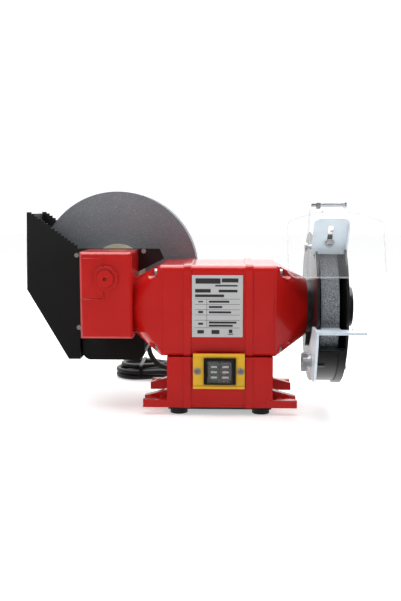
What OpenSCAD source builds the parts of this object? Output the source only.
/* [Motor] */
// Height of the motor shaft above the bench
axis_z = 118; // [112:1:140]
// Width of the motor body along the shaft
body_w = 126; // [110:1:150]
// How far the motor body sits left of the base's middle
body_shift = 2; // [0:0.5:4]
// Depth of the motor body, front to back
body_d = 106; // [104:1:110]
// Height of the motor body above its shaft
body_up = 52; // [50:1:60]
// Corner radius of the motor body
body_round = 7; // [3:0.5:12]
// Bore that holds the stator
stator_r = 46; // [42:0.5:46]
// Distance from the base's middle to the small end of each end bell
bell_end = 100.25; // [98:0.25:125]
// Radius of the small end of each end bell
bell_r = 33.5; // [30:0.5:40]
// Thickness of the flange that the end bell screws hold
bell_flange = 6; // [4:0.5:8]
// Radius of the rotor
rotor_r = 29.5; // [25:0.5:29.5]
// Air gap between the rotor and the stator
air_gap = 0.6; // [0.4:0.1:1]
// Length of the stator and rotor cores
core_len = 70; // [50:1:80]

/* [Base] */
// Half width of the base
base_half_w = 60; // [58:0.5:66]
// Half depth of the base at its foot
base_half_d = 58; // [56:0.5:64]
// How much narrower the base is at its top, each side
base_draft = 3; // [0:0.5:5]
// Height of the red casting above the bench
base_low = 8.5; // [7:0.5:14]
// Wall of the base
base_wall = 4; // [3:0.5:6]
// Distance from the middle to the tip of each bench lug
lug_end = 87.3; // [80:0.1:100]
// Depth of each bench lug
lug_d = 28; // [24:1:34]
// Height of each bench lug
lug_h = 8.8; // [6:0.2:12]
// Width of the open slot in each lug
lug_slot = 9; // [6:0.5:10]
// Radius of each rubber foot
foot_r = 10; // [8:0.5:12]
// Height of each rubber foot
foot_h = 6.5; // [5:0.5:10]

/* [Dry wheel] */
// Radius of the dry wheel
dry_r = 75; // [60:1:75]
// Width of the dry wheel
dry_w = 20; // [16:1:20]
// Left face of the dry wheel
dry_x = 110.5; // [110.5:0.5:111.5]
// Bore of the dry wheel, as a radius
dry_bore = 6.35; // [6.2:0.05:8]
// Radius of the wheel guard
guard_r = 87.5; // [87.5:0.5:95]
// Wall of the wheel guard
guard_wall = 2.5; // [2:0.5:3]
// Inner wall's outer face
guard_x = 105; // [104.5:0.5:105]
// Width of the guard over both walls
guard_w = 34; // [34:0.5:38]
// Radius of the domed boss on the guard's cover
dome_r = 24.6; // [22:0.2:30]

/* [Wet wheel] */
// Radius of the wet wheel
wet_r = 100; // [80:1:100]
// Width of the wet wheel
wet_w = 40; // [30:1:40]
// Front face of the wet wheel
wet_y = 57; // [56:0.5:58]
// Bore of the wet wheel, as a radius
wet_bore = 10; // [10:0.5:11]
// Distance from the motor shaft up to the wet wheel's shaft
gear_dist = 36; // [36:0.1:36.2]
// Distance from the base's middle to the wet wheel's shaft
wet_reach = 130; // [130:0.5:132]

/* [Gears] */
// Teeth on the worm gear
gear_teeth = 22; // [22:1:22]
// Module of the worm and its gear
gear_module = 2; // [2:0.1:2]
// Width of the worm gear's teeth
gear_face = 6; // [5:0.5:8]
// Length of the worm
worm_len = 26; // [20:1:32]
// Play between the teeth, on each side
gear_play = 0.5; // [0.45:0.05:0.7]

/* [Gear case] */
// Width of the gear case
case_w = 59.5; // [59:0.5:66]
// Front face of the gear case, in front of the motor shaft
case_front = 45; // [44:0.5:52]
// Rear face of the gear case, behind the motor shaft
case_rear = 22.4; // [22.4:0.2:26]
// Height of the gear case's top above its wheel shaft
case_up = 30; // [29:0.5:36]
// Depth of the gear case below the motor shaft
case_down = 33; // [30:0.5:40]
// Wall of the gear case
case_wall = 4; // [3:0.5:4]

/* [Tank] */
// Wall of the splash cover and the trough
cover_wall = 2.4; // [2:0.1:3]
// Depth between the two toothed plates
cover_d = 76; // [74:1:82]
// Number of teeth on each toothed edge
cover_teeth = 14; // [8:1:20]
// Bottom of the water trough above the bench
trough_low = 45.4; // [42:0.2:46]

/* [Guards] */
// Thickness of the spark guard plate
spark_t = 1.8; // [1.2:0.2:2.4]
// Length of the spark guard plate
spark_len = 48; // [40:1:56]
// Width of the spark guard plate
spark_w = 38.8; // [36:0.2:44]
// Thickness of the clear eye shield
shield_t = 3; // [2:0.5:4]
// Half width of the eye shield
shield_half = 51; // [40:1:56]
// Length of the eye shield's slanted panel
shield_len = 74; // [60:1:84]
// Thickness of the work rest
rest_t = 2.8; // [2:0.2:3.2]
// Width of the work rest's plate
rest_w = 53; // [46:1:60]
// How far the work rest's top lies below the motor shaft
rest_drop = 13.7; // [6:0.1:18]

/* [Switch] */
// Width of the yellow switch plate
plate_w = 58; // [54:1:60]
// Height of the yellow switch plate
plate_h = 40; // [36:1:44]
// Height of the switch plate's middle above the bench
plate_z = 51.4; // [48:0.2:54]
// Width of the switch
switch_w = 36; // [30:1:40]
// Height of the switch
switch_h = 30; // [26:1:32]
// Travel of each push button
button_travel = 2; // [1:0.5:3]

/* [Fits] */
// Running clearance between a shaft and its bore, on the radius
run_clear = 0.05; // [0.02:0.01:0.1]
// Gap between pieces that pass each other
gap = 0.4; // [0.3:0.1:1]
// Radius of the M4 screws
m4_r = 2; // [2:0.1:2.5]
// Radius of the M5 screws
m5_r = 2.5; // [2.5:0.1:3]

/* [Cord] */
// Diameter of the mains lead
cord_d = 7; // [6:0.5:8]
// Length of the strain relief
relief_len = 32; // [20:1:40]

/* [Hidden] */
$fn = 64;
hull_fn = 32;

body_x0 = -body_shift - body_w / 2;
body_x1 = -body_shift + body_w / 2;
base_top = axis_z - body_up;
wet_x = -wet_reach;
wet_z = axis_z + gear_dist;

// Cylinders that lie along one axis, from one face to the other
module xcyl(x0, x1, r, y = 0, z = axis_z) {
    translate([x0, y, z]) rotate([0, 90, 0]) cylinder(h = x1 - x0, r = r);
}
module ycyl(y0, y1, r, x = wet_x, z = wet_z) {
    translate([x, y1, z]) rotate([90, 0, 0]) cylinder(h = y1 - y0, r = r);
}
module zcyl(z0, z1, r, x = 0, y = 0) {
    translate([x, y, z0]) cylinder(h = z1 - z0, r = r);
}
module xtube(x0, x1, r, bore) {
    difference() {
        xcyl(x0, x1, r);
        xcyl(x0 - 1, x1 + 1, bore);
    }
}
module ytube(y0, y1, r, bore) {
    difference() {
        ycyl(y0, y1, r);
        ycyl(y0 - 1, y1 + 1, bore);
    }
}
module box(x0, x1, y0, y1, z0, z1) {
    translate([x0, y0, z0]) cube([x1 - x0, y1 - y0, z1 - z0]);
}
// A plate whose outline is given in Y and Z, from x0 to x1
module yz_slab(x0, x1, points) {
    translate([x0, 0, 0]) rotate([90, 0, 90]) linear_extrude(x1 - x0) polygon(points);
}
// A plate whose outline is given in X and Z, from y0 to y1
module xz_slab(y0, y1, points) {
    translate([0, y1, 0]) rotate([90, 0, 0]) linear_extrude(y1 - y0) polygon(points);
}
// A plate whose outline is given in X and Y, from z0 to z1
module xy_slab(z0, z1, points) {
    translate([0, 0, z0]) linear_extrude(z1 - z0) polygon(points);
}

// Pan-head screw with a cross recess: the head stands up along +Z from the origin
module pan_screw(r, length, head_r, head_h) {
    difference() {
        union() {
            translate([0, 0, -length]) cylinder(h = length, r = r);
            cylinder(h = head_h, r = head_r);
        }
        for (turn = [0, 90]) rotate([0, 0, turn])
            translate([-head_r * 0.6, -r * 0.2, head_h * 0.45]) cube([head_r * 1.2, r * 0.4, head_h]);
    }
}
m4_head_r = m4_r * 1.9;
m4_head_h = m4_r * 1.2;
m5_head_r = m5_r * 1.8;
m5_head_h = m5_r * 1.1;

// ---- Motor body and base ----
corner_y = body_d / 2 - 9;
corner_z = body_up - 9;
screw_depth = 14;
rib_w = 8.5;
rib_h = 1.3;
rib_reach = 34.8;
rib_mid = [-body_shift - rib_reach, -body_shift + rib_reach];
panel_depth = 1.5;
boss_x = base_half_w - 13;
boss_y = base_half_d - 14;
boss_h = 14;
lug_slot_x = 71;
lug_mouth = 7;
lug_ramp = 7.6;
wire_hole = 8;
module body_block(x0, x1, grow) {
    hull() for (sy = [-1, 1], sz = [-1, 1])
        translate([x0, sy * (body_d / 2 + grow - body_round), axis_z + sz * (body_up + grow - body_round)])
            rotate([0, 90, 0]) cylinder(h = x1 - x0, r = body_round, $fn = hull_fn);
}
module pedestal(x0, x1, grow) {
    top = base_half_d - base_draft + grow;
    low = base_half_d + grow;
    yz_slab(x0, x1, [[-low, base_low], [low, base_low], [top, base_top], [-top, base_top]]);
}
// One bench lug at the right rear: two prongs with an open slot, the inner one ramped
module lug() {
    inner = base_half_d - lug_d;
    mid = base_half_d - lug_d / 2;
    difference() {
        union() {
            box(base_half_w - 8, lug_end, inner, base_half_d, base_low, base_low + lug_h);
            xz_slab(inner, mid - lug_slot / 2, [[base_half_w - 2, base_low],
                [lug_end, base_low], [lug_end, base_low + lug_h],
                [base_half_w, base_low + lug_h + lug_ramp],
                [base_half_w - 2, base_low + lug_h + lug_ramp]]);
        }
        box(lug_slot_x, lug_end + 1, mid - lug_slot / 2, mid + lug_slot / 2, base_low - 1, base_low + 30);
        zcyl(base_low - 1, base_low + 30, lug_slot / 2, lug_slot_x, mid);
        xy_slab(base_low - 1, base_low + 30, [[lug_end - lug_mouth, mid - lug_slot / 2],
            [lug_end + 1, mid - lug_slot / 2 - 3], [lug_end + 1, mid + lug_slot / 2 + 3],
            [lug_end - lug_mouth, mid + lug_slot / 2]]);
    }
}
module four_feet() {
    for (sx = [-1, 1], sy = [-1, 1]) translate([sx * boss_x, sy * boss_y, 0]) children();
}
module motor_body() color("firebrick") difference() {
    union() {
        difference() {
            union() {
                body_block(body_x0, body_x1, 0);
                for (x = rib_mid) {
                    body_block(x - rib_w / 2, x + rib_w / 2, rib_h);
                    pedestal(x - rib_w / 2, x + rib_w / 2, rib_h);
                }
                pedestal(-base_half_w, base_half_w, 0);
                for (mx = [0, 1], my = [0, 1]) mirror([mx, 0, 0]) mirror([0, my, 0]) lug();
            }
            box(-base_half_w + base_wall, base_half_w - base_wall,
                -base_half_d + base_draft + base_wall, base_half_d - base_draft - base_wall,
                base_low - 1, base_top - base_wall);
        }
        for (mx = [0, 1], my = [0, 1]) mirror([mx, 0, 0]) mirror([0, my, 0])
            box(boss_x - m4_r * 3, base_half_w - base_wall + 1, boss_y - m4_r * 3,
                base_half_d - base_draft - base_wall + 1, base_low, base_low + boss_h);
    }
    xcyl(body_x0 - 1, body_x1 + 1, stator_r);
    box(rib_mid[0] + rib_w / 2, rib_mid[1] - rib_w / 2,
        -base_half_d - 1, -base_half_d + panel_depth, base_low - 1, base_low + 3);
    four_feet() zcyl(base_low - 1, base_low + boss_h - 3, m4_r);
    for (sy = [-1, 1], sz = [-1, 1]) {
        xcyl(body_x0 - 1, body_x0 + screw_depth, m5_r, sy * corner_y, axis_z + sz * corner_z);
        xcyl(body_x1 - screw_depth, body_x1 + 1, m5_r, sy * corner_y, axis_z + sz * corner_z);
    }
    zcyl(base_top - base_wall - 1, axis_z - stator_r + 2, wire_hole, 30, 0);
    box(-switch_w / 2 - 1, switch_w / 2, -base_half_d - 1, -base_half_d + 12,
        plate_z - switch_h / 2, plate_z + switch_h / 2);
    translate([relief_x, 0, relief_z]) rotate([-90, 0, 0]) cylinder(h = base_half_d + 1, r = cord_d / 2);
}

// ---- End bells ----
bearing_r = 16;
bearing_bore = 6;
bearing_w = 10;
bell_lip = 2.25;
bearing_x = bell_end - bell_lip - bearing_w;
bell_hole = 8.5;
pocket_r = 7;
module end_bell(side, wide) {
    small = side * bell_end;
    dir = side;
    flange0 = min(wide, wide + dir * 2);
    difference() {
        hull() {
            body_block(flange0, flange0 + 2, 0);
            xcyl(min(small, small - dir), max(small, small - dir), bell_r);
        }
        translate([wide - dir, 0, axis_z]) rotate([0, dir * 90, 0])
            cylinder(h = abs(bearing_x * dir - wide) + 1.01, r1 = stator_r - 1, r2 = bearing_r + 6);
        xcyl(-bearing_x - bearing_w, bearing_x + bearing_w, bearing_r);
        xcyl(-bell_end - 1, bell_end + 1, bell_hole);
        for (sy = [-1, 1], sz = [-1, 1]) {
            pocket = wide + dir * bell_flange;
            far = wide + dir * 30;
            xcyl(min(pocket, far), max(pocket, far), pocket_r, sy * corner_y, axis_z + sz * corner_z);
            xcyl(min(wide - dir, far), max(wide - dir, far), m5_r, sy * corner_y, axis_z + sz * corner_z);
        }
        if (side > 0) guard_screw_places() xcyl(bell_end - guard_screw_depth, bell_end + 1, m5_r, 0, 0);
    }
}
module left_end_bell() color("firebrick") end_bell(-1, body_x0);
module right_end_bell() color("firebrick") end_bell(1, body_x1);
// ---- Base fittings ----
foot_sink = 3.5;
module base_plate() color("dimgray") difference() {
    box(-base_half_w + 1.5, base_half_w - 1.5, -base_half_d + 1.5, base_half_d - 1.5, foot_h, base_low);
    four_feet() zcyl(foot_h - 1, base_low + 1, m4_r);
}
module rubber_feet() color("black") four_feet() difference() {
    zcyl(0, foot_h, foot_r);
    zcyl(-1, foot_sink, m4_head_r + 0.5);
    zcyl(-1, foot_h + 1, m4_r);
}
label_w = 57;
label_h = 70;
label_t = 0.6;
label_z = axis_z + 6;
module rating_plate() color("lightgray")
    box(-body_shift - 1 - label_w / 2, -body_shift - 1 + label_w / 2, -body_d / 2 - label_t, -body_d / 2,
        label_z - label_h / 2, label_z + label_h / 2);

// ---- Switch ----
plate_t = 2;
plate_lip = 3;
plate_y = -base_half_d - rib_h - 0.2;
plate_x = -1;
switch_front = plate_y - plate_t - 2.5;
button_w = 10;
button_h = 20;
button_gap = 3;
button_out = 1.8;
button_deep = 6;
module switch_plate() color("gold") difference() {
    union() {
        box(plate_x - plate_w / 2, plate_x + plate_w / 2, plate_y - plate_t, plate_y,
            plate_z - plate_h / 2, plate_z + plate_h / 2);
        for (s = [-1, 1]) translate([0, 0, plate_z + s * (plate_h - plate_lip) / 2])
            box(plate_x - plate_w / 2, plate_x + plate_w / 2, plate_y - plate_t - 1.2,
                plate_y - plate_t, -plate_lip / 2, plate_lip / 2);
        box(plate_x - plate_w / 2 + 2, plate_x + plate_w / 2 - 2, plate_y, -base_half_d + 0.2,
            plate_z - plate_h / 2 + 2, base_top - 8);
    }
    box(-switch_w / 2, switch_w / 2, plate_y - 9, plate_y + 9,
        plate_z - switch_h / 2, plate_z + switch_h / 2);
    pedestal(-base_half_w, base_half_w, 0);
    for (x = plate_screw_x) ycyl(plate_y - 9, plate_y + 9, m4_r, x, plate_z);
}
plate_screw_x = [plate_x - 24.2, plate_x + 24.6];
module switch_plate_screws() color("silver") for (x = plate_screw_x)
    translate([x, plate_y - plate_t, plate_z]) rotate([90, 0, 0]) union() {
        pan_screw(m4_r, 4, m4_head_r - 0.4, m4_head_h);
        difference() {
            cylinder(h = 0.6, r = m4_head_r);
            translate([0, 0, -1]) cylinder(h = 3, r = m4_head_r - 0.5);
        }
    }
module button_wells(grow) {
    for (s = [-1, 1]) translate([s * (button_w + button_gap) / 2, 0, plate_z])
        box(-button_w / 2 - grow, button_w / 2 + grow, switch_front - 9, switch_front + button_deep + 4,
            -button_h / 2 - grow, button_h / 2 + grow);
}
module switch_body() color([0.1, 0.1, 0.1]) difference() {
    box(-switch_w / 2, switch_w / 2, switch_front, -base_half_d + 11,
        plate_z - switch_h / 2, plate_z + switch_h / 2);
    button_wells(gap);
}
module push_button(side) {
    x = side * (button_w + button_gap) / 2;
    box(x - button_w / 2, x + button_w / 2, switch_front - button_out, switch_front + button_deep,
        plate_z - button_h / 2, plate_z + button_h / 2);
    for (row = [-1, 0, 1]) box(x - button_w / 2 + 1.5, x + button_w / 2 - 1.5,
        switch_front - button_out - 0.5, switch_front - button_out,
        plate_z + row * 6 - 1.2, plate_z + row * 6 + 1.2);
}
module on_button() color("darkgreen") push_button(-1);
module off_button() color("darkred") push_button(1);
cover_w = 28;
cover_h = 24.6;
cover_out = 3.4;
module switch_cover() color("white", 0.4) difference() {
    box(-cover_w / 2, cover_w / 2, switch_front - cover_out, switch_front,
        plate_z - cover_h / 2, plate_z + cover_h / 2);
    box(-cover_w / 2 + 1.4, cover_w / 2 - 1.4, switch_front - cover_out + 0.7, switch_front + 1,
        plate_z - cover_h / 2 + 1.4, plate_z + cover_h / 2 - 1.4);
}

// ---- Electrical parts inside the base ----
capacitor_r = 15;
module capacitor() color("ghostwhite") xcyl(-38, 27, capacitor_r, 26, base_low + capacitor_r);
module terminal_block() color("ivory") difference() {
    box(8, 44, -34, -18, base_low, base_low + 14);
    for (x = [14, 20, 26, 32, 38]) zcyl(base_low + 4, base_low + 15, 1.8, x, -26);
}

// ---- Motor ----
core_x0 = -body_shift - core_len / 2;
core_x1 = -body_shift + core_len / 2;
stator_bore = rotor_r + air_gap;
slot_count = 18;
slot_deep = 9;
shaft_r = 7.5;
module stator_core() color("gray") difference() {
    xtube(core_x0, core_x1, stator_r, stator_bore);
    for (i = [0 : slot_count - 1]) translate([0, 0, axis_z]) rotate([i * 360 / slot_count, 0, 0])
        box(core_x0 - 1, core_x1 + 1, -2, 2, stator_bore + 1.5, stator_bore + 1.5 + slot_deep);
}
module stator_windings() color("chocolate") for (x = [core_x0 - 9, core_x1 + 9])
    translate([x, 0, axis_z]) rotate([0, 90, 0]) rotate_extrude()
        translate([stator_bore + 7.5, 0]) union() {
            circle(r = 5.5);
            translate([-4, -9]) square([8, 18]);
        }
module rotor_core() color("darkgray") difference() {
    union() {
        xcyl(core_x0, core_x1, rotor_r);
        xcyl(core_x0 - 6, core_x1 + 6, rotor_r - 2);
    }
    xcyl(core_x0 - 7, core_x1 + 7, shaft_r);
}
// The shaft's left end runs in the gear case's bush and its right end carries the dry wheel
worm_mid = wet_x;
bush_len = 8;
case_x0 = wet_x - case_w / 2;
case_x1 = wet_x + case_w / 2;
shaft_left = case_x0 + case_wall + 1;
nut_len = 9;
flange_t = 2.5;
shaft_right = dry_x + dry_w + flange_t + nut_len + 3;
module rotor_shaft() color("silver") union() {
    xcyl(-bearing_x, bearing_x, shaft_r);
    xcyl(shaft_left, -bearing_x, bearing_bore);
    xcyl(bearing_x, bearing_x + bearing_w, bearing_bore);
    xcyl(bearing_x + bearing_w, dry_x + dry_w + flange_t, dry_bore);
    xcyl(dry_x + dry_w + flange_t, shaft_right, dry_bore - 0.85);
}

// ---- Ball bearings ----
race_out = 12.6;
race_in = 9.4;
ball_r = (race_out - race_in) / 2;
module bearing_outer(x0) {
    xtube(x0, x0 + bearing_w, bearing_r, race_out);
    for (x = [x0, x0 + bearing_w - 1]) xtube(x, x + 1, race_out, race_in + run_clear * 2);
    for (i = [0 : 7]) translate([x0 + bearing_w / 2, 0, axis_z]) rotate([i * 45, 0, 0])
        translate([0, 0, (race_out + race_in) / 2]) sphere(r = ball_r - run_clear);
}
module left_bearing_outer() color("silver") bearing_outer(-bearing_x - bearing_w);
module right_bearing_outer() color("silver") bearing_outer(bearing_x);
module left_bearing_inner() color("silver") xtube(-bearing_x - bearing_w, -bearing_x, race_in, bearing_bore);
module right_bearing_inner() color("silver") xtube(bearing_x, bearing_x + bearing_w, race_in, bearing_bore);

// ---- Worm and worm gear ----
pitch_gear = gear_module * gear_teeth / 2;
pitch_worm = gear_dist - pitch_gear;
worm_lead = PI * gear_module;
crest = pitch_worm + gear_module * 0.9;
root = pitch_worm - gear_module * 1.2;
flank = tan(20);
// Radius of the worm's outline at a turn angle: root, flank, crest, flank
function tooth_half(r) = worm_lead / 4 - gear_play / 2 - (r - pitch_worm) * flank;
function worm_r(a) =
    let (s = abs(a > 180 ? a - 360 : a) / 360 * worm_lead)
    s <= tooth_half(crest) ? crest :
    s >= tooth_half(root) ? root :
    crest - (s - tooth_half(crest)) / flank;
// Turned so that a groove of the worm faces the gear tooth below the wheel shaft
worm_phase = 360 - 180 * worm_len / worm_lead;
worm_steps = 30;
slices_per_turn = 12;
module worm() color("darkgray") difference() {
    translate([worm_mid - worm_len / 2, 0, axis_z]) rotate([0, 90, 0])
        linear_extrude(worm_len, twist = -360 * worm_len / worm_lead,
            slices = ceil(worm_len / worm_lead * slices_per_turn))
            polygon([for (i = [0 : worm_steps - 1]) let (a = i * 360 / worm_steps, t = a + worm_phase)
                worm_r(a) * [cos(t), sin(t)]]);
    xcyl(worm_mid - worm_len, worm_mid + worm_len, bearing_bore);
}
// Half width of a gear tooth at a radius, thinned by the play, with parallel flanks below the pitch circle
function gear_half(r) = worm_lead / 4 - gear_play / 2 - max(r - pitch_gear, 0) * flank;
gear_tip = pitch_gear + gear_module * 0.9;
gear_root = pitch_gear - gear_module * 1.25;

module gear_tooth() {
    foot = gear_half(pitch_gear);
    tip = gear_half(gear_tip);
    polygon([[-foot, gear_root - 1], [-foot, pitch_gear], [-tip, gear_tip],
        [tip, gear_tip], [foot, pitch_gear], [foot, gear_root - 1]]);
}
module worm_gear() color("darkgoldenrod") difference() {
    union() {
        translate([wet_x, gear_face / 2, wet_z]) rotate([90, 0, 0]) linear_extrude(gear_face) union() {
            circle(r = gear_root);
            for (i = [0 : gear_teeth - 1]) rotate([0, 0, i * 360 / gear_teeth]) gear_tooth();
        }
        ycyl(-9, 9, 13);
    }
    ycyl(-10, 10, wet_shaft_r);
}

// ---- Dry wheel's fittings ----
flange_r = 20;
hub_r = 10;
inner_flange_x = dry_x - flange_t;
module inner_flange() color("silver") difference() {
    union() {
        xcyl(inner_flange_x, dry_x, flange_r);
        xcyl(bearing_x + bearing_w, inner_flange_x, hub_r - 2);
    }
    xcyl(bearing_x, dry_x + 1, dry_bore);
}
module outer_flange() color("silver") xtube(dry_x + dry_w, dry_x + dry_w + flange_t, flange_r, dry_bore);
module dry_wheel() color("slategray") xtube(dry_x, dry_x + dry_w, dry_r, dry_bore);
module hex_x(x0, x1, r) {
    translate([x0, 0, axis_z]) rotate([0, 90, 0]) cylinder(h = x1 - x0, r = r, $fn = 6);
}
module wheel_nut() color("silver") difference() {
    hex_x(dry_x + dry_w + flange_t, dry_x + dry_w + flange_t + nut_len, 11);
    xcyl(dry_x, shaft_right + 1, dry_bore - 0.85);
}

// ---- Gear case ----
case_z0 = axis_z - case_down;
case_z1 = wet_z + case_up;
case_bevel = 2.5;
lid_t = 4;
ring_r = 14.4;
cap_r = 9.7;
wet_shaft_r = 8;
bush_out = 11;
bush_front = 10;
case_screw_x = [case_x0 + 8, case_x1 - 8];
case_screw_z = [case_z0 + 8, case_z1 - 8];
module case_screw_places() {
    for (x = case_screw_x, z = case_screw_z) translate([x, 0, z]) children();
}
module gear_case() color("firebrick") difference() {
    union() {
        difference() {
            hull() {
                box(case_x0, case_x1, -case_front + case_bevel, case_rear - lid_t, case_z0, case_z1);
                box(case_x0 + case_bevel, case_x1 - case_bevel, -case_front, case_rear - lid_t,
                    case_z0 + case_bevel, case_z1 - case_bevel);
            }
            box(case_x0 + case_wall, case_x1 - case_wall, -case_front + case_wall, case_rear,
                case_z0 + case_wall, case_z1 - case_wall);
        }
        ycyl(-case_front, -case_front + case_wall + bush_front, bush_out + 3);
        ycyl(-case_front - 3.5, -case_front, ring_r);
        xcyl(case_x0 + 1, case_x0 + case_wall + bush_len, bearing_bore + 5);
        case_screw_places() ycyl(case_rear - lid_t - 16, case_rear - lid_t, m4_r * 2.5, 0, 0);
    }
    ycyl(-case_front + case_wall, case_rear, bush_out);
    ycyl(-case_front - 4, -case_front - 0.5, cap_r);
    xcyl(case_x0 + case_wall, case_x0 + case_wall + bush_len + 1, bearing_bore + 2);
    xcyl(case_x1 - case_wall - 1, case_x1 + 1, bell_hole);
    case_screw_places() ycyl(case_rear - lid_t - 14, case_rear, m4_r, 0, 0);
}
module gear_case_lid() color("firebrick") difference() {
    union() {
        box(case_x0, case_x1, case_rear - lid_t, case_rear, case_z0, case_z1);
        ycyl(case_rear - lid_t - 7, case_rear, wet_bore + 5);
    }
    ycyl(-9, case_rear + 1, wet_bore + 2);
    case_screw_places() ycyl(case_rear - lid_t - 1, case_rear + 1, m4_r, 0, 0);
}
module boss_cap() color("firebrick") difference() {
    ycyl(-case_front - 6, -case_front - 0.5, cap_r);
    ycyl(-case_front - 7, -case_front - 3, 2.2);
}
module worm_bush() color("goldenrod")
    xtube(case_x0 + case_wall, case_x0 + case_wall + bush_len, bearing_bore + 2, bearing_bore + run_clear);
module front_shaft_bush() color("goldenrod")
    ytube(-case_front + case_wall, -case_front + case_wall + bush_front, bush_out, wet_shaft_r + run_clear);
module rear_shaft_bush() color("goldenrod")
    ytube(case_rear - lid_t - 7, case_rear, wet_bore + 2, wet_bore + run_clear);
bracket_t = 2;
bracket_y = case_rear + cover_wall;
module shaft_seal() color("black")
    ytube(case_rear, bracket_y + bracket_t, wet_bore + 5, wet_bore + run_clear);

// ---- Wet wheel on its shaft ----
wet_flange_r = 34.6;
wet_flange_t = 5;
wet_back = wet_y + wet_w;
wet_nut_len = 9;
module wet_shaft() color("silver") union() {
    ycyl(-case_front + case_wall + 1, case_rear - lid_t - 8, wet_shaft_r);
    ycyl(case_rear - lid_t - 8, wet_back + wet_flange_t, wet_bore);
    ycyl(wet_back + wet_flange_t, wet_back + wet_flange_t + wet_nut_len + 3, wet_bore - 1.5);
}
module wet_inner_flange() color("bisque") difference() {
    union() {
        ycyl(wet_y - wet_flange_t, wet_y, wet_flange_r);
        ycyl(bracket_y + bracket_t + 2, wet_y - wet_flange_t, wet_bore + 7);
    }
    ycyl(0, wet_y + 1, wet_bore);
}
module wet_wheel() color("slategray") ytube(wet_y, wet_back, wet_r, wet_bore);
module wet_outer_flange() color("silver") ytube(wet_back, wet_back + wet_flange_t, wet_flange_r, wet_bore);
module wet_nut() color("silver") difference() {
    translate([wet_x, wet_back + wet_flange_t + wet_nut_len, wet_z]) rotate([90, 0, 0])
        cylinder(h = wet_nut_len, r = 15, $fn = 6);
    ycyl(0, 2 * wet_back, wet_bore - 1.5);
}

// ---- Splash cover with toothed tool supports, and the trough ----
cover_x0 = wet_x - 106;
cover_top = wet_z + 74.5;
tooth_x0 = wet_x - 100.4;
tooth_x1 = wet_x - 45;
tooth_z1 = wet_z + 31.5;
cover_right = body_x0 - 9.2;
corner_low = [wet_x - 108, wet_z - 20];
foot_low = [wet_x - 58, wet_z - 106.5];
cover_foot_x = wet_x - 43.5;
cover_back = bracket_y + cover_d;
hub_hole = wet_bore + 5;
tooth_edge = [for (i = [0 : cover_teeth - 1], k = [0, 1])
    let (step_x = (tooth_x1 - tooth_x0) / cover_teeth, step_z = (cover_top - 2 - tooth_z1) / cover_teeth)
    [tooth_x0 + (i + k) * step_x, cover_top - 2 - i * step_z]];
front_outline = concat([[cover_x0, cover_top], [tooth_x0, cover_top]], tooth_edge,
    [[tooth_x1, case_z1 + 0.6], [cover_right, case_z1 + 0.6], [cover_right + 5, axis_z + body_up + 2.5],
    [-bell_end, axis_z + bell_r + 5], [-bell_end, case_z0], [cover_foot_x, case_z0],
    [cover_foot_x, foot_low[1]], foot_low, corner_low]);
rear_open = wet_z - 38;
rear_right = wet_x + 38;
rear_outline = concat([[cover_x0, cover_top], [tooth_x0, cover_top]], tooth_edge,
    [[tooth_x1, tooth_z1], [tooth_x1 + 6, rear_open], [rear_right, rear_open],
    [rear_right, foot_low[1] + 14], [rear_right - 4, foot_low[1]], foot_low, corner_low]);
wall_band = [[cover_x0, cover_top - 2], corner_low, foot_low, [cover_foot_x, foot_low[1]],
    [cover_foot_x, foot_low[1] + 1.8], foot_low + [1, 1.8], corner_low + [2, 0.6],
    [cover_x0 + 2, cover_top - 2]];
cover_screw_at = [[wet_x + 36.4, wet_z + 27.4], [wet_x - 45.8, wet_z + 22.3], [wet_x - 44.6, wet_z - 66.8]];
cover_screw_head = 2.8;
module wheel_cover() color([0.1, 0.1, 0.1]) difference() {
    union() {
        xz_slab(case_rear, bracket_y, front_outline);
        xz_slab(bracket_y, cover_back, wall_band);
        xz_slab(cover_back, cover_back + cover_wall, rear_outline);
    }
    ycyl(case_rear - 1, bracket_y + 1, hub_hole);
    case_screw_places() ycyl(case_rear - 1, bracket_y + 1, m4_r, 0, 0);
    for (p = cover_screw_at) ycyl(case_rear - 1, bracket_y + 1, m4_r, p[0], p[1]);
}
module cover_bracket() color("silver") difference() {
    xz_slab(bracket_y, bracket_y + bracket_t, [[wet_x - 51, case_z0 - 2], [wet_x - 51, wet_z + 28],
        [wet_x - 46, case_z1 - 1], [wet_x + 42, case_z1 - 1], [wet_x + 42, wet_z + 14],
        [-bell_end - 1, wet_z + 2], [-bell_end - 1, case_z0 - 2]]);
    ycyl(bracket_y - 1, bracket_y + 3, hub_hole);
    case_screw_places() ycyl(bracket_y - 1, bracket_y + 3, m4_r, 0, 0);
    for (p = cover_screw_at) ycyl(bracket_y - 1, bracket_y + 3, m4_r, p[0], p[1]);
}
trough_x0 = wet_x - 42;
trough_x1 = wet_x + 36;
trough_end = trough_low + 13.6;
trough_front = bracket_y + bracket_t + 2.8;
trough_back = cover_back;
trough_sides = body_x0 - 29;
function trough_outline(inset, top, right = trough_x1) = [[trough_x0 + inset, top],
    [trough_x0 + inset, trough_low + 8], [trough_x0 + 3 + inset / 2, trough_low + 3 + inset / 2],
    [trough_x0 + 8, trough_low + inset], [right - 8, trough_low + inset],
    [right - 3 - inset / 2, trough_low + 3 + inset / 2], [right - inset, trough_low + 8],
    [right - inset, top]];
module water_trough() color([0.12, 0.12, 0.12]) difference() {
    union() {
        xz_slab(trough_front, trough_back, trough_outline(0, trough_end));
        xz_slab(trough_front, trough_front + cover_wall, trough_outline(0, case_z0 + 4, trough_sides));
        xz_slab(trough_back - cover_wall, trough_back, trough_outline(0, case_z0 + 4, trough_sides));
        for (x = [wet_x - 28, wet_x + 22])
            box(x, x + 10, bracket_y + bracket_t, trough_front, case_z0 - 1, case_z0 + 4);
    }
    xz_slab(trough_front + cover_wall, trough_back - cover_wall, trough_outline(cover_wall, trough_end + 60));
}

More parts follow.
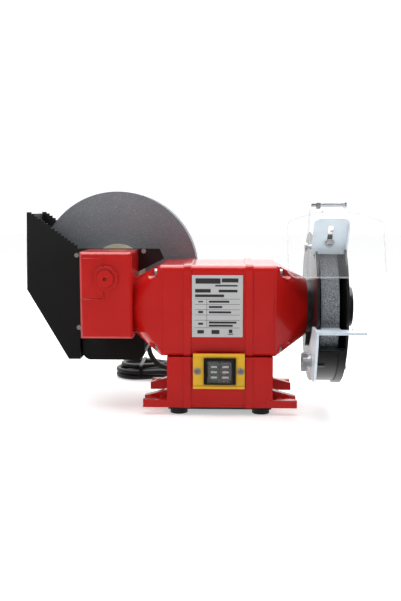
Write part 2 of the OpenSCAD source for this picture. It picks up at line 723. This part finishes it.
// ---- M4 screws of the base, the gear case's lid, the splash cover and the guard's cover ----
rim_screw_r = guard_r - 6;
rim_screw_angles = [229, 330, 95];
module rim_screw_places() {
    for (a = rim_screw_angles)
        translate([0, rim_screw_r * cos(a), axis_z + rim_screw_r * sin(a)]) children();
}
guard_out = guard_x + guard_w;
module m4_screws() color("silver") {
    four_feet() translate([0, 0, foot_sink]) rotate([180, 0, 0])
        pan_screw(m4_r, base_low - foot_sink + boss_h - 4, m4_head_r, m4_head_h);
    case_screw_places() translate([0, bracket_y + bracket_t, 0]) rotate([-90, 0, 0])
        pan_screw(m4_r, bracket_t + cover_wall + lid_t + 8, m4_head_r, m4_head_h);
    for (p = cover_screw_at) translate([p[0], case_rear, p[1]]) rotate([90, 0, 0])
        pan_screw(m4_r, cover_wall + bracket_t + 2, cover_screw_head, m4_head_h / 2);
    rim_screw_places() translate([guard_out, 0, 0]) rotate([0, 90, 0])
        pan_screw(m4_r, 14, m4_head_r, m4_head_h);
}

// ---- Wheel guard ----
open_low = -25.5;
open_high = 56;
cover_r = guard_r + 2.5;
rim_w = 8;
// Wedge in front of the wheel, from x0 to x1, between the lower lip and the upper tab
module front_wedge(x0, x1) {
    yz_slab(x0, x1, [[0, axis_z],
        [-200 * cos(open_low), axis_z + 200 * sin(open_low)], [-260, axis_z + 60],
        [-200 * cos(open_high), axis_z + 200 * sin(open_high)]]);
}
inner_hole = 22;
guard_screw_ring = 28;
guard_screw_depth = 12;
module guard_screw_places() {
    for (a = [90, 210, 330]) translate([0, guard_screw_ring * cos(a), axis_z + guard_screw_ring * sin(a)])
        children();
}
tab_out = guard_r + 16.5;
tab_t = 2.4;
rest_bolt_y = -62;
rest_bolt_z = axis_z - 54.5;
wing_r = 3;
module in_spark_plane(angle) {
    translate([0, 0, axis_z]) rotate([-angle, 0, 0]) children();
}
// Space in front of the guard's walls that the spark guard plate slides in
module spark_notch() {
    translate([0, 0, axis_z]) rotate([90 - open_high, 0, 0])
        translate([spark_x - 1, -8, spark_near - spark_slide - gap]) cube([spark_w + 2, 8, 99]);
}
spark_slide = 3;
module guard_shell() color([0.08, 0.08, 0.09]) difference() {
    union() {
        difference() {
            xcyl(guard_x, guard_out - guard_wall, guard_r);
            xcyl(guard_x + guard_wall, guard_out, guard_r - guard_wall);
            front_wedge(guard_x + guard_wall, guard_out);
        }
        rim_screw_places() xcyl(guard_x + guard_wall, guard_out - guard_wall, m4_r * 2, 0, 0);
        box(guard_x + guard_wall, guard_out - rim_w - gap, -guard_r * cos(open_low) - 4,
            -guard_r * cos(open_low) + 3, axis_z + guard_r * sin(open_low) - guard_wall - 0.4,
            axis_z + guard_r * sin(open_low) - 0.4);
        in_spark_plane(-(90 - open_high)) translate([guard_x + 0.5, 0.3, guard_r - guard_wall / 2])
            cube([guard_w - guard_wall - 1, tab_t, tab_out - guard_r + guard_wall / 2]);
        xcyl(guard_x + guard_wall, guard_x + 11, wing_r * 2, rest_bolt_y, rest_bolt_z);
    }
    xcyl(guard_x - 1, guard_x + guard_wall + 1, inner_hole);
    guard_screw_places() xcyl(guard_x - 1, guard_x + guard_wall + 1, m5_r, 0, 0);
    rim_screw_places() xcyl(guard_out - 14, guard_out + 1, m4_r, 0, 0);
    xcyl(guard_x - 1, guard_x + 12, wing_r + run_clear, rest_bolt_y, rest_bolt_z);
    spark_screw_place() translate([0, 0, -9]) cylinder(h = 18, r = m5_r);
    xcyl(guard_x - 1, guard_x + guard_wall + 1, m5_r, holder_y, holder_z);
    spark_notch();
}
module guard_cover() color([0.08, 0.08, 0.09]) difference() {
    union() {
        xcyl(guard_out - guard_wall, guard_out, cover_r);
        difference() {
            xcyl(guard_out - rim_w, guard_out, cover_r);
            xcyl(guard_out - 9, guard_out + 1, guard_r);
            front_wedge(guard_out - 9, guard_out - guard_wall);
            in_spark_plane(-(90 - open_high)) translate([guard_x, -1, 0]) cube([guard_w, 5, 200]);
        }
        translate([guard_out, 0, axis_z]) rotate([0, 90, 0]) cylinder(h = 11, r1 = dome_r + 5, r2 = dome_r);
        xcyl(guard_out + 11, guard_out + 15, dome_r - 1);
        xcyl(guard_out + 15, guard_out + 17.6, 5.6);
    }
    xcyl(guard_out - guard_wall - 1, guard_out + 12, flange_r + 1.5);
    rim_screw_places() xcyl(guard_out - 14, guard_out + 1, m4_r, 0, 0);
    spark_notch();
}
module guard_collar() color([0.1, 0.1, 0.1]) difference() {
    union() {
        xcyl(bell_end, guard_x, bell_r);
        hull() {
            xcyl(bell_end, guard_x, bell_r - 2);
            xcyl(bell_end, guard_x, 10, 0, axis_z - bell_r - 4);
        }
    }
    xcyl(bell_end - 1, guard_x + 1, inner_hole);
    guard_screw_places() xcyl(bell_end - 1, guard_x + 1, m5_r, 0, 0);
}
module m5_screws() color("silver") {
    for (sy = [-1, 1], sz = [-1, 1]) translate([0, sy * corner_y, axis_z + sz * corner_z]) {
        translate([body_x0 - bell_flange, 0, 0]) rotate([0, -90, 0])
            pan_screw(m5_r, bell_flange + screw_depth - 2, m5_head_r, m5_head_h);
        translate([body_x1 + bell_flange, 0, 0]) rotate([0, 90, 0])
            pan_screw(m5_r, bell_flange + screw_depth - 2, m5_head_r, m5_head_h);
    }
    guard_screw_places() translate([guard_x + guard_wall, 0, 0]) rotate([0, 90, 0])
        pan_screw(m5_r, guard_wall + guard_x - bell_end + guard_screw_depth - 2, m5_head_r, 1.6);
}

// ---- Spark guard ----
spark_near = dry_r + 4;
spark_x = guard_x - 3.3;
spark_slot = 5.8;
spark_screw_out = guard_r + 7.5;
spark_travel = 12;
module spark_frame() {
    translate([0, 0, axis_z]) rotate([90 - open_high, 0, 0]) translate([0, -spark_t - gap, 0]) children();
}
module spark_screw_place() {
    translate([0, 0, axis_z]) rotate([90 - open_high, 0, 0])
        translate([guard_x + guard_w / 2 - 1.5, 0, spark_screw_out]) rotate([90, 0, 0]) children();
}
module spark_guard() color("lightsteelblue") spark_frame() difference() {
    union() {
        translate([spark_x, 0, spark_near]) cube([spark_w, spark_t, spark_len - 8]);
        translate([spark_x + 8, 0, spark_near]) cube([spark_w - 16, spark_t, spark_len]);
        for (x = [8, spark_w - 8]) translate([spark_x + x, spark_t, spark_near + spark_len - 8])
            rotate([90, 0, 0]) cylinder(h = spark_t, r = 8);
        translate([spark_x + spark_w - spark_t, -4, spark_near]) cube([spark_t, 4 + spark_t, spark_len - 8]);
    }
    slot_mid = guard_x + guard_w / 2 - 1.5;
    translate([slot_mid - spark_slot / 2, -9, spark_screw_out - spark_slot / 2 + 2])
        cube([spark_slot, 20, spark_travel + spark_slot + 6]);
    translate([slot_mid, 9, spark_screw_out]) rotate([90, 0, 0]) cylinder(h = 20, r = spark_slot / 2);
}
holder_y = -34;
holder_z = axis_z + 72;
module guard_bracket_screws() color("silver") {
    spark_screw_place() translate([0, 0, spark_t + 2 * gap]) {
        pan_screw(m5_r, 12, m5_head_r, m5_head_h);
        cylinder(h = 0.8, r = m5_head_r + 0.8);
    }
    translate([holder_x0, holder_y, holder_z]) rotate([0, -90, 0])
        pan_screw(m5_r, guard_x + guard_wall - holder_x0, m5_head_r, m5_head_h);
}

// ---- Eye shield and its clear holder ----
hinge_y = -60;
hinge_z = axis_z + spark_near + spark_len - 7.6;
neck_x0 = guard_x + 4.4;
neck_x1 = neck_x0 + 24.6;
ear_w = 3.6;
bolt_r = 2.5;
knuckle_r = 5.5;
holder_t = 3;
holder_x1 = spark_x - 0.5;
holder_x0 = holder_x1 - holder_t;
holder_drop = 32;
holder_half = 7;
module shield_bracket() color("white", 0.4) difference() {
    union() {
        yz_slab(holder_x0, holder_x1, [[holder_y - holder_half, holder_z - holder_drop],
            [holder_y + holder_half, holder_z - holder_drop], [holder_y + holder_half, holder_z + 8],
            [hinge_y + 18, hinge_z - 4], [hinge_y + 10, hinge_z - 4], [hinge_y + 10, hinge_z - 20],
            [holder_y - holder_half, holder_z + 8]]);
        xcyl(holder_x1, guard_x, 6, holder_y, holder_z);
        box(holder_x0, neck_x1 - ear_w - gap, hinge_y + 10, hinge_y + 18, hinge_z - 12, hinge_z - 4);
        hull() {
            xcyl(neck_x0 + ear_w + gap, neck_x1 - ear_w - gap, knuckle_r, hinge_y, hinge_z);
            box(neck_x0 + ear_w + gap, neck_x1 - ear_w - gap, hinge_y + 11, hinge_y + 15,
                hinge_z - 11, hinge_z - 5);
        }
    }
    xcyl(holder_x0 - 1, neck_x1, bolt_r, hinge_y, hinge_z);
    xcyl(holder_x0 - 1, guard_x + 1, m5_r, holder_y, holder_z);
}
shield_top_y = hinge_y - 24;
shield_top_z = hinge_z - 8.4;
shield_lean = 24;
shield_mid = (neck_x0 + neck_x1) / 2;
neck_half = (neck_x1 - neck_x0) / 2;
module eye_shield() color("white", 0.3) difference() {
    union() {
        translate([shield_mid, shield_top_y, shield_top_z]) rotate([90 - shield_lean, 0, 0])
            linear_extrude(shield_t) polygon([[-neck_half, 3], [-neck_half, 0], [-neck_half - 18, -4],
                [-shield_half + 3, -10], [-shield_half, -14], [-shield_half, -shield_len + 6],
                [-shield_half + 6, -shield_len], [shield_half - 6, -shield_len],
                [shield_half, -shield_len + 6], [shield_half, -14], [shield_half - 3, -10],
                [neck_half + 18, -4], [neck_half, 0], [neck_half, 3]]);
        for (x = [neck_x0, neck_x1 - ear_w]) {
            xcyl(x, x + ear_w, knuckle_r + 1.5, hinge_y, hinge_z);
            yz_slab(x, x + ear_w, [[hinge_y, hinge_z + knuckle_r + 1.5], [shield_top_y, shield_top_z + 3.5],
                [shield_top_y, shield_top_z - 1], [hinge_y, hinge_z - knuckle_r - 1.5]]);
        }
        yz_slab(neck_x0, neck_x1, [[shield_top_y - 3, shield_top_z + 1.5],
            [shield_top_y - 1, shield_top_z + 4], [hinge_y - 9, hinge_z + 3.2],
            [hinge_y - 9, hinge_z + 0.2], [shield_top_y + 1, shield_top_z + 1],
            [shield_top_y, shield_top_z - 1]]);
    }
    xcyl(neck_x0 - 1, neck_x1 + 1, bolt_r + run_clear, hinge_y, hinge_z);
}
module shield_bolt() color("silver") union() {
    xcyl(neck_x0 - 10.3, neck_x1 + gap, bolt_r, hinge_y, hinge_z);
    xcyl(neck_x1 + gap, neck_x1 + gap + 2.6, bolt_r * 1.8, hinge_y, hinge_z);
    translate([neck_x0 - gap - 4.4, hinge_y, hinge_z]) rotate([0, 90, 0]) difference() {
        cylinder(h = 4.4, r = bolt_r * 1.85, $fn = 6);
        translate([0, 0, -1]) cylinder(h = 7, r = bolt_r);
    }
}

// ---- Work rest and its wing bolt ----
rest_top = axis_z - rest_drop;
rest_front = -dry_r - 37;
rest_back = -dry_r - 3;
rest_x = guard_x - 0.8 - rest_t;
rest_travel = 20;
leg_back = -38;
notch_y = -guard_r - 5;
module work_rest() color("lightsteelblue") difference() {
    union() {
        xy_slab(rest_top - rest_t, rest_top, [[rest_x, rest_front], [rest_x + rest_w, rest_front],
            [rest_x + rest_w, rest_back - 4], [guard_out + 4, rest_back - 4], [guard_out + 4, notch_y],
            [guard_out - 9, notch_y], [guard_out - 9, rest_back],
            [guard_x + guard_wall + 2, rest_back], [guard_x + guard_wall + 2, notch_y], [rest_x, notch_y]]);
        yz_slab(rest_x, rest_x + rest_t, [[rest_front, rest_top], [rest_front + 2, rest_top - 12],
            [-94, rest_bolt_z - 13.5],
            [-89, rest_bolt_z - 17.5], [-80, rest_bolt_z - 18], [leg_back - 4, rest_bolt_z - 14.5],
            [leg_back, rest_bolt_z - 9.5], [leg_back, rest_bolt_z + 10.5],
            [-66, rest_top - 8], [-72, rest_top]]);
    }
    box(rest_x - 1, rest_x + rest_t + 1, rest_bolt_y, rest_bolt_y + rest_travel,
        rest_bolt_z - wing_r - gap, rest_bolt_z + wing_r + gap);
    for (y = [rest_bolt_y, rest_bolt_y + rest_travel])
        xcyl(rest_x - 1, rest_x + rest_t + 1, wing_r + gap, y, rest_bolt_z);
}
washer_t = 1.6;
wing_t = 3.2;
wing_out = 11;
module wing_bolt() color("silver") {
    xcyl(rest_x - gap - washer_t, rest_x - gap, wing_r + 5, rest_bolt_y, rest_bolt_z);
    xcyl(rest_x - gap - washer_t - 7, rest_x - gap - washer_t, wing_r + 3.5, rest_bolt_y, rest_bolt_z);
    xcyl(rest_x - gap - washer_t, guard_x + 9, wing_r, rest_bolt_y, rest_bolt_z);
    for (turn = [20, 160]) translate([0, rest_bolt_y, rest_bolt_z]) rotate([turn, 0, 0])
        box(rest_x - gap - washer_t - 9, rest_x - gap - washer_t - 2, -wing_t / 2, wing_t / 2, 0, wing_out);
}

// ---- Mains lead ----
relief_x = -24;
relief_z = 76;
relief_y = body_d / 2;
cord_r = cord_d / 2;
module cord_relief() color("black") translate([relief_x, relief_y, relief_z]) rotate([-90, 0, 0]) union() {
    translate([0, 0, -4]) cylinder(h = 4, r = cord_r);
    cylinder(h = 3, r = cord_r * 2.2);
    cylinder(h = relief_len, r1 = cord_r * 1.9, r2 = cord_r);
}
cord_route = [[-24, 85, 76], [-24, 90, 76], [-26, 101, 76], [-32, 110, 76], [-41, 116, 76], [-52, 118, 76],
    [-69, 118, 76], [-80, 118, 74], [-90, 118, 67], [-96, 118, 58], [-98, 118, 47], [-96, 118, 36],
    [-90, 118, 26], [-80, 118, 20], [-69, 118, 17.5], [-62, 118, 17.5]];
cord_sides = 10;
function unit(v) = v / norm(v);
function tangent(i) = unit(cord_route[min(i + 1, len(cord_route) - 1)] - cord_route[max(i - 1, 0)]);
// Each ring has ten points; its first direction stays level while the lead runs level
function ring(i) =
    let (t = i == 0 ? [0, 1, 0] : i == len(cord_route) - 1 ? [1, 0, 0] : tangent(i),
        u = i < 9 ? unit(cross(t, [0, 0, 1])) : [0, 1, 0], v = cross(u, t))
    [for (k = [0 : cord_sides - 1]) cord_route[i]
        + cord_r * (cos(k * 360 / cord_sides) * u + sin(k * 360 / cord_sides) * v)];
module power_cord() color([0.08, 0.08, 0.08]) {
    rings = len(cord_route);
    points = [for (i = [0 : rings - 1], p = ring(i)) p];
    sides = [for (i = [0 : rings - 2], k = [0 : cord_sides - 1])
        let (a = i * cord_sides + k, b = i * cord_sides + (k + 1) % cord_sides)
        [a, b, b + cord_sides, a + cord_sides]];
    first = [for (k = [cord_sides - 1 : -1 : 0]) k];
    last = [for (k = [0 : cord_sides - 1]) (rings - 1) * cord_sides + k];
    polyhedron(points, concat(sides, [first, last]));
}
hank_x0 = -147;
hank_x1 = -7;
hank_y0 = 114.5;
hank_w = 63;
hank_step = -62;
tie_x = -112;
tie_w = 6;
tie_t = 1.5;
module hank_layer(z0, z1) {
    hull() for (x = [hank_x0 + hank_w / 2, hank_x1 - hank_w / 2])
        zcyl(z0, z1, hank_w / 2, x, hank_y0 + hank_w / 2);
}
module hank_tie() color([0.1, 0.1, 0.1]) difference() {
    box(tie_x, tie_x + tie_w, hank_y0 - 0.5, hank_y0 + hank_w + 0.5, 0, 3 * cord_d + 0.5);
    box(tie_x - 1, tie_x + tie_w + 1, hank_y0 + tie_t, hank_y0 + hank_w - tie_t, tie_t, 3 * cord_d - tie_t);
}
module cord_hank() color([0.08, 0.08, 0.08]) difference() {
    union() {
        hank_layer(0, 2 * cord_d);
        intersection() {
            hank_layer(2 * cord_d - 1, 3 * cord_d);
            union() {
                box(hank_step, hank_x1 + 1, hank_y0 - 1, hank_y0 + hank_w + 1, 0, 30);
                box(hank_x0 - 1, hank_x1 + 1, hank_y0 + cord_d + 0.5, hank_y0 + hank_w + 1, 0, 30);
            }
        }
    }
    hank_tie();
}
plug_y = 146;
plug_z = 17.5;
plug_len = 32;
sleeve_len = 20;
pin_len = 19;
module plug() color([0.08, 0.08, 0.08]) union() {
    grip = hank_x1 + sleeve_len;
    translate([hank_x1, plug_y, plug_z]) rotate([0, 90, 0])
        cylinder(h = sleeve_len, r1 = cord_r, r2 = cord_r * 2.4);
    xcyl(grip, grip + plug_len, plug_z - 0.1, plug_y, plug_z);
    for (s = [-1, 1]) xcyl(grip, grip + plug_len + pin_len, 2.4, plug_y + s * 9.5, plug_z);
}

motor_body();
left_end_bell();
right_end_bell();
base_plate();
rubber_feet();
rating_plate();
switch_plate();
switch_plate_screws();
switch_body();
switch_cover();
on_button();
off_button();
capacitor();
terminal_block();
stator_core();
stator_windings();
left_bearing_outer();
left_bearing_inner();
right_bearing_outer();
right_bearing_inner();
rotor_shaft();
rotor_core();
worm();
inner_flange();
outer_flange();
dry_wheel();
wheel_nut();
gear_case();
gear_case_lid();
boss_cap();
worm_bush();
wet_shaft();
worm_gear();
front_shaft_bush();
rear_shaft_bush();
shaft_seal();
wet_inner_flange();
wet_wheel();
wet_outer_flange();
wet_nut();
wheel_cover();
cover_bracket();
water_trough();
m4_screws();
guard_shell();
guard_cover();
guard_collar();
m5_screws();
spark_guard();
guard_bracket_screws();
shield_bracket();
eye_shield();
shield_bolt();
work_rest();
wing_bolt();
cord_relief();
power_cord();
cord_hank();
hank_tie();
plug();
